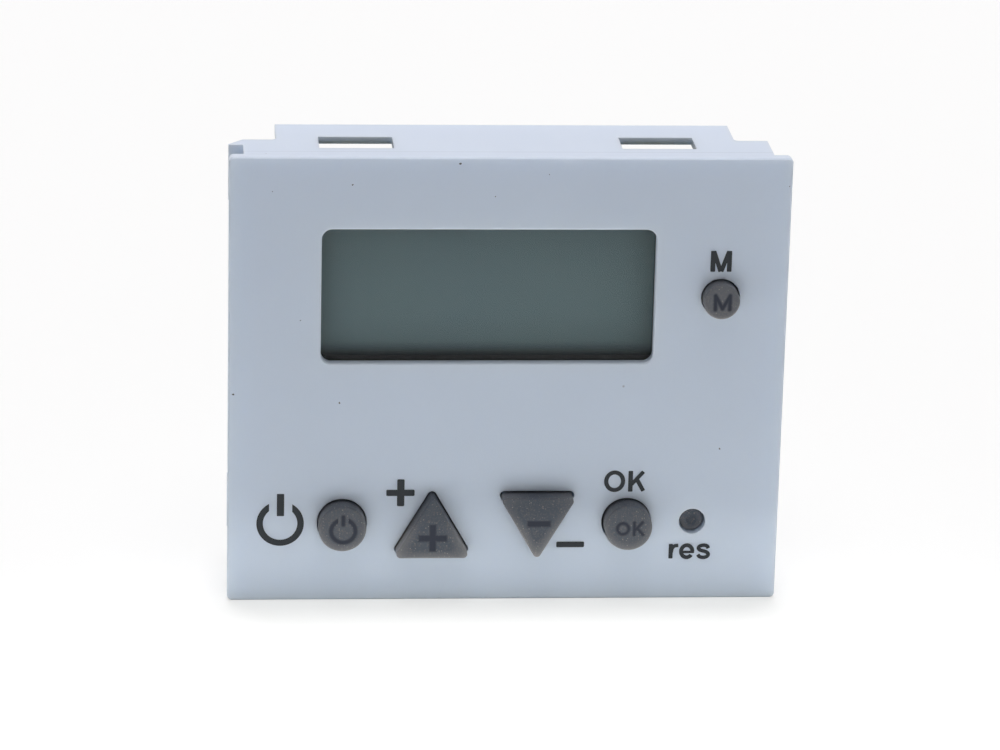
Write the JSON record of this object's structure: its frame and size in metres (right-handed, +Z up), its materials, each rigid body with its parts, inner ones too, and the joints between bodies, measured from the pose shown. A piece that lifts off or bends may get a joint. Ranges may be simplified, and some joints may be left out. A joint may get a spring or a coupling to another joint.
{
  "type": "timer switch",
  "caption": "Plug-on timer switch module: square-edged white front with a display window, spring-back rubber keys, a slotted snap-in skirt and a rear plug for a flush insert.",
  "frame": {"origin": "centre of the rear cover's back face, which seats on the flush insert", "axes": "+Z up the wall, +X to the right seen from the front, +Y into the wall; the face looks along -Y"},
  "size_m": [0.054, 0.0241, 0.045],
  "materials": {
    "cover_plastic": "satin",
    "window_acrylic": "clear, polished",
    "gasket_foam": "matte foam",
    "bezel_plastic": "fine grain",
    "polariser_film": "neutral grey film",
    "display_glass": "clear",
    "reflector_foil": "grey-green, slightly pearly",
    "support_plastic": "matte",
    "contact_rubber": "fine layers",
    "key_rubber": "matte silicone",
    "carbon_rubber": "matte",
    "board_laminate": "solder resist",
    "plug_plastic": "matte",
    "pin_brass": "plated",
    "chip_plastic": "matte",
    "crystal_can": "satin",
    "cell_steel": "satin",
    "clip_steel": "spring steel, satin",
    "capacitor_can": "satin",
    "chip_ceramic": "matte",
    "rear_plastic": "fine grain",
    "screw_steel": "zinc plated"
  },
  "bodies": {
    "housing": {"front_cover": "cover_plastic", "display_window": "window_acrylic", "display_gasket": "gasket_foam", "lcd_bezel": "bezel_plastic", "lcd_front_polariser": "polariser_film", "lcd_front_glass": "display_glass", "lcd_rear_glass": "display_glass", "lcd_reflector": "reflector_foil", "lcd_support": "support_plastic", "upper_contact_strip": "contact_rubber", "lower_contact_strip": "contact_rubber", "keypad_mat": "key_rubber", "web_power": "key_rubber", "web_plus": "key_rubber", "web_minus": "key_rubber", "web_ok": "key_rubber", "web_menu": "key_rubber", "web_reset": "key_rubber", "circuit_board": "board_laminate", "plug_block": "plug_plastic", "plug_pins": "pin_brass", "microcontroller": "chip_plastic", "quartz_crystal": "crystal_can", "backup_cell": "cell_steel", "cell_clip": "clip_steel", "capacitor": "capacitor_can", "chip_parts": "chip_ceramic", "rear_cover": "rear_plastic", "cover_screws": "screw_steel"},
    "power_button": {"key_power": "key_rubber", "pill_power": "carbon_rubber"},
    "plus_button": {"key_plus": "key_rubber", "pill_plus": "carbon_rubber"},
    "minus_button": {"key_minus": "key_rubber", "pill_minus": "carbon_rubber"},
    "ok_button": {"key_ok": "key_rubber", "pill_ok": "carbon_rubber"},
    "menu_button": {"key_menu": "key_rubber", "pill_menu": "carbon_rubber"},
    "reset_button": {"key_reset": "key_rubber", "pill_reset": "carbon_rubber"}
  },
  "joints": [
    {"name": "power_press", "type": "slide", "parent": "housing", "child": "power_button", "axis": [0, 1, 0], "range_m": [0, 0.0008], "stiffness_N_per_m": 1200, "deforming": ["web_power"]},
    {"name": "plus_press", "type": "slide", "parent": "housing", "child": "plus_button", "axis": [0, 1, 0], "range_m": [0, 0.0008], "stiffness_N_per_m": 1200, "deforming": ["web_plus"]},
    {"name": "minus_press", "type": "slide", "parent": "housing", "child": "minus_button", "axis": [0, 1, 0], "range_m": [0, 0.0008], "stiffness_N_per_m": 1200, "deforming": ["web_minus"]},
    {"name": "ok_press", "type": "slide", "parent": "housing", "child": "ok_button", "axis": [0, 1, 0], "range_m": [0, 0.0008], "stiffness_N_per_m": 1200, "deforming": ["web_ok"]},
    {"name": "menu_press", "type": "slide", "parent": "housing", "child": "menu_button", "axis": [0, 1, 0], "range_m": [0, 0.0008], "stiffness_N_per_m": 1200, "deforming": ["web_menu"]},
    {"name": "reset_press", "type": "slide", "parent": "housing", "child": "reset_button", "axis": [0, 1, 0], "range_m": [0, 0.0008], "stiffness_N_per_m": 1200, "deforming": ["web_reset"]}
  ]
}
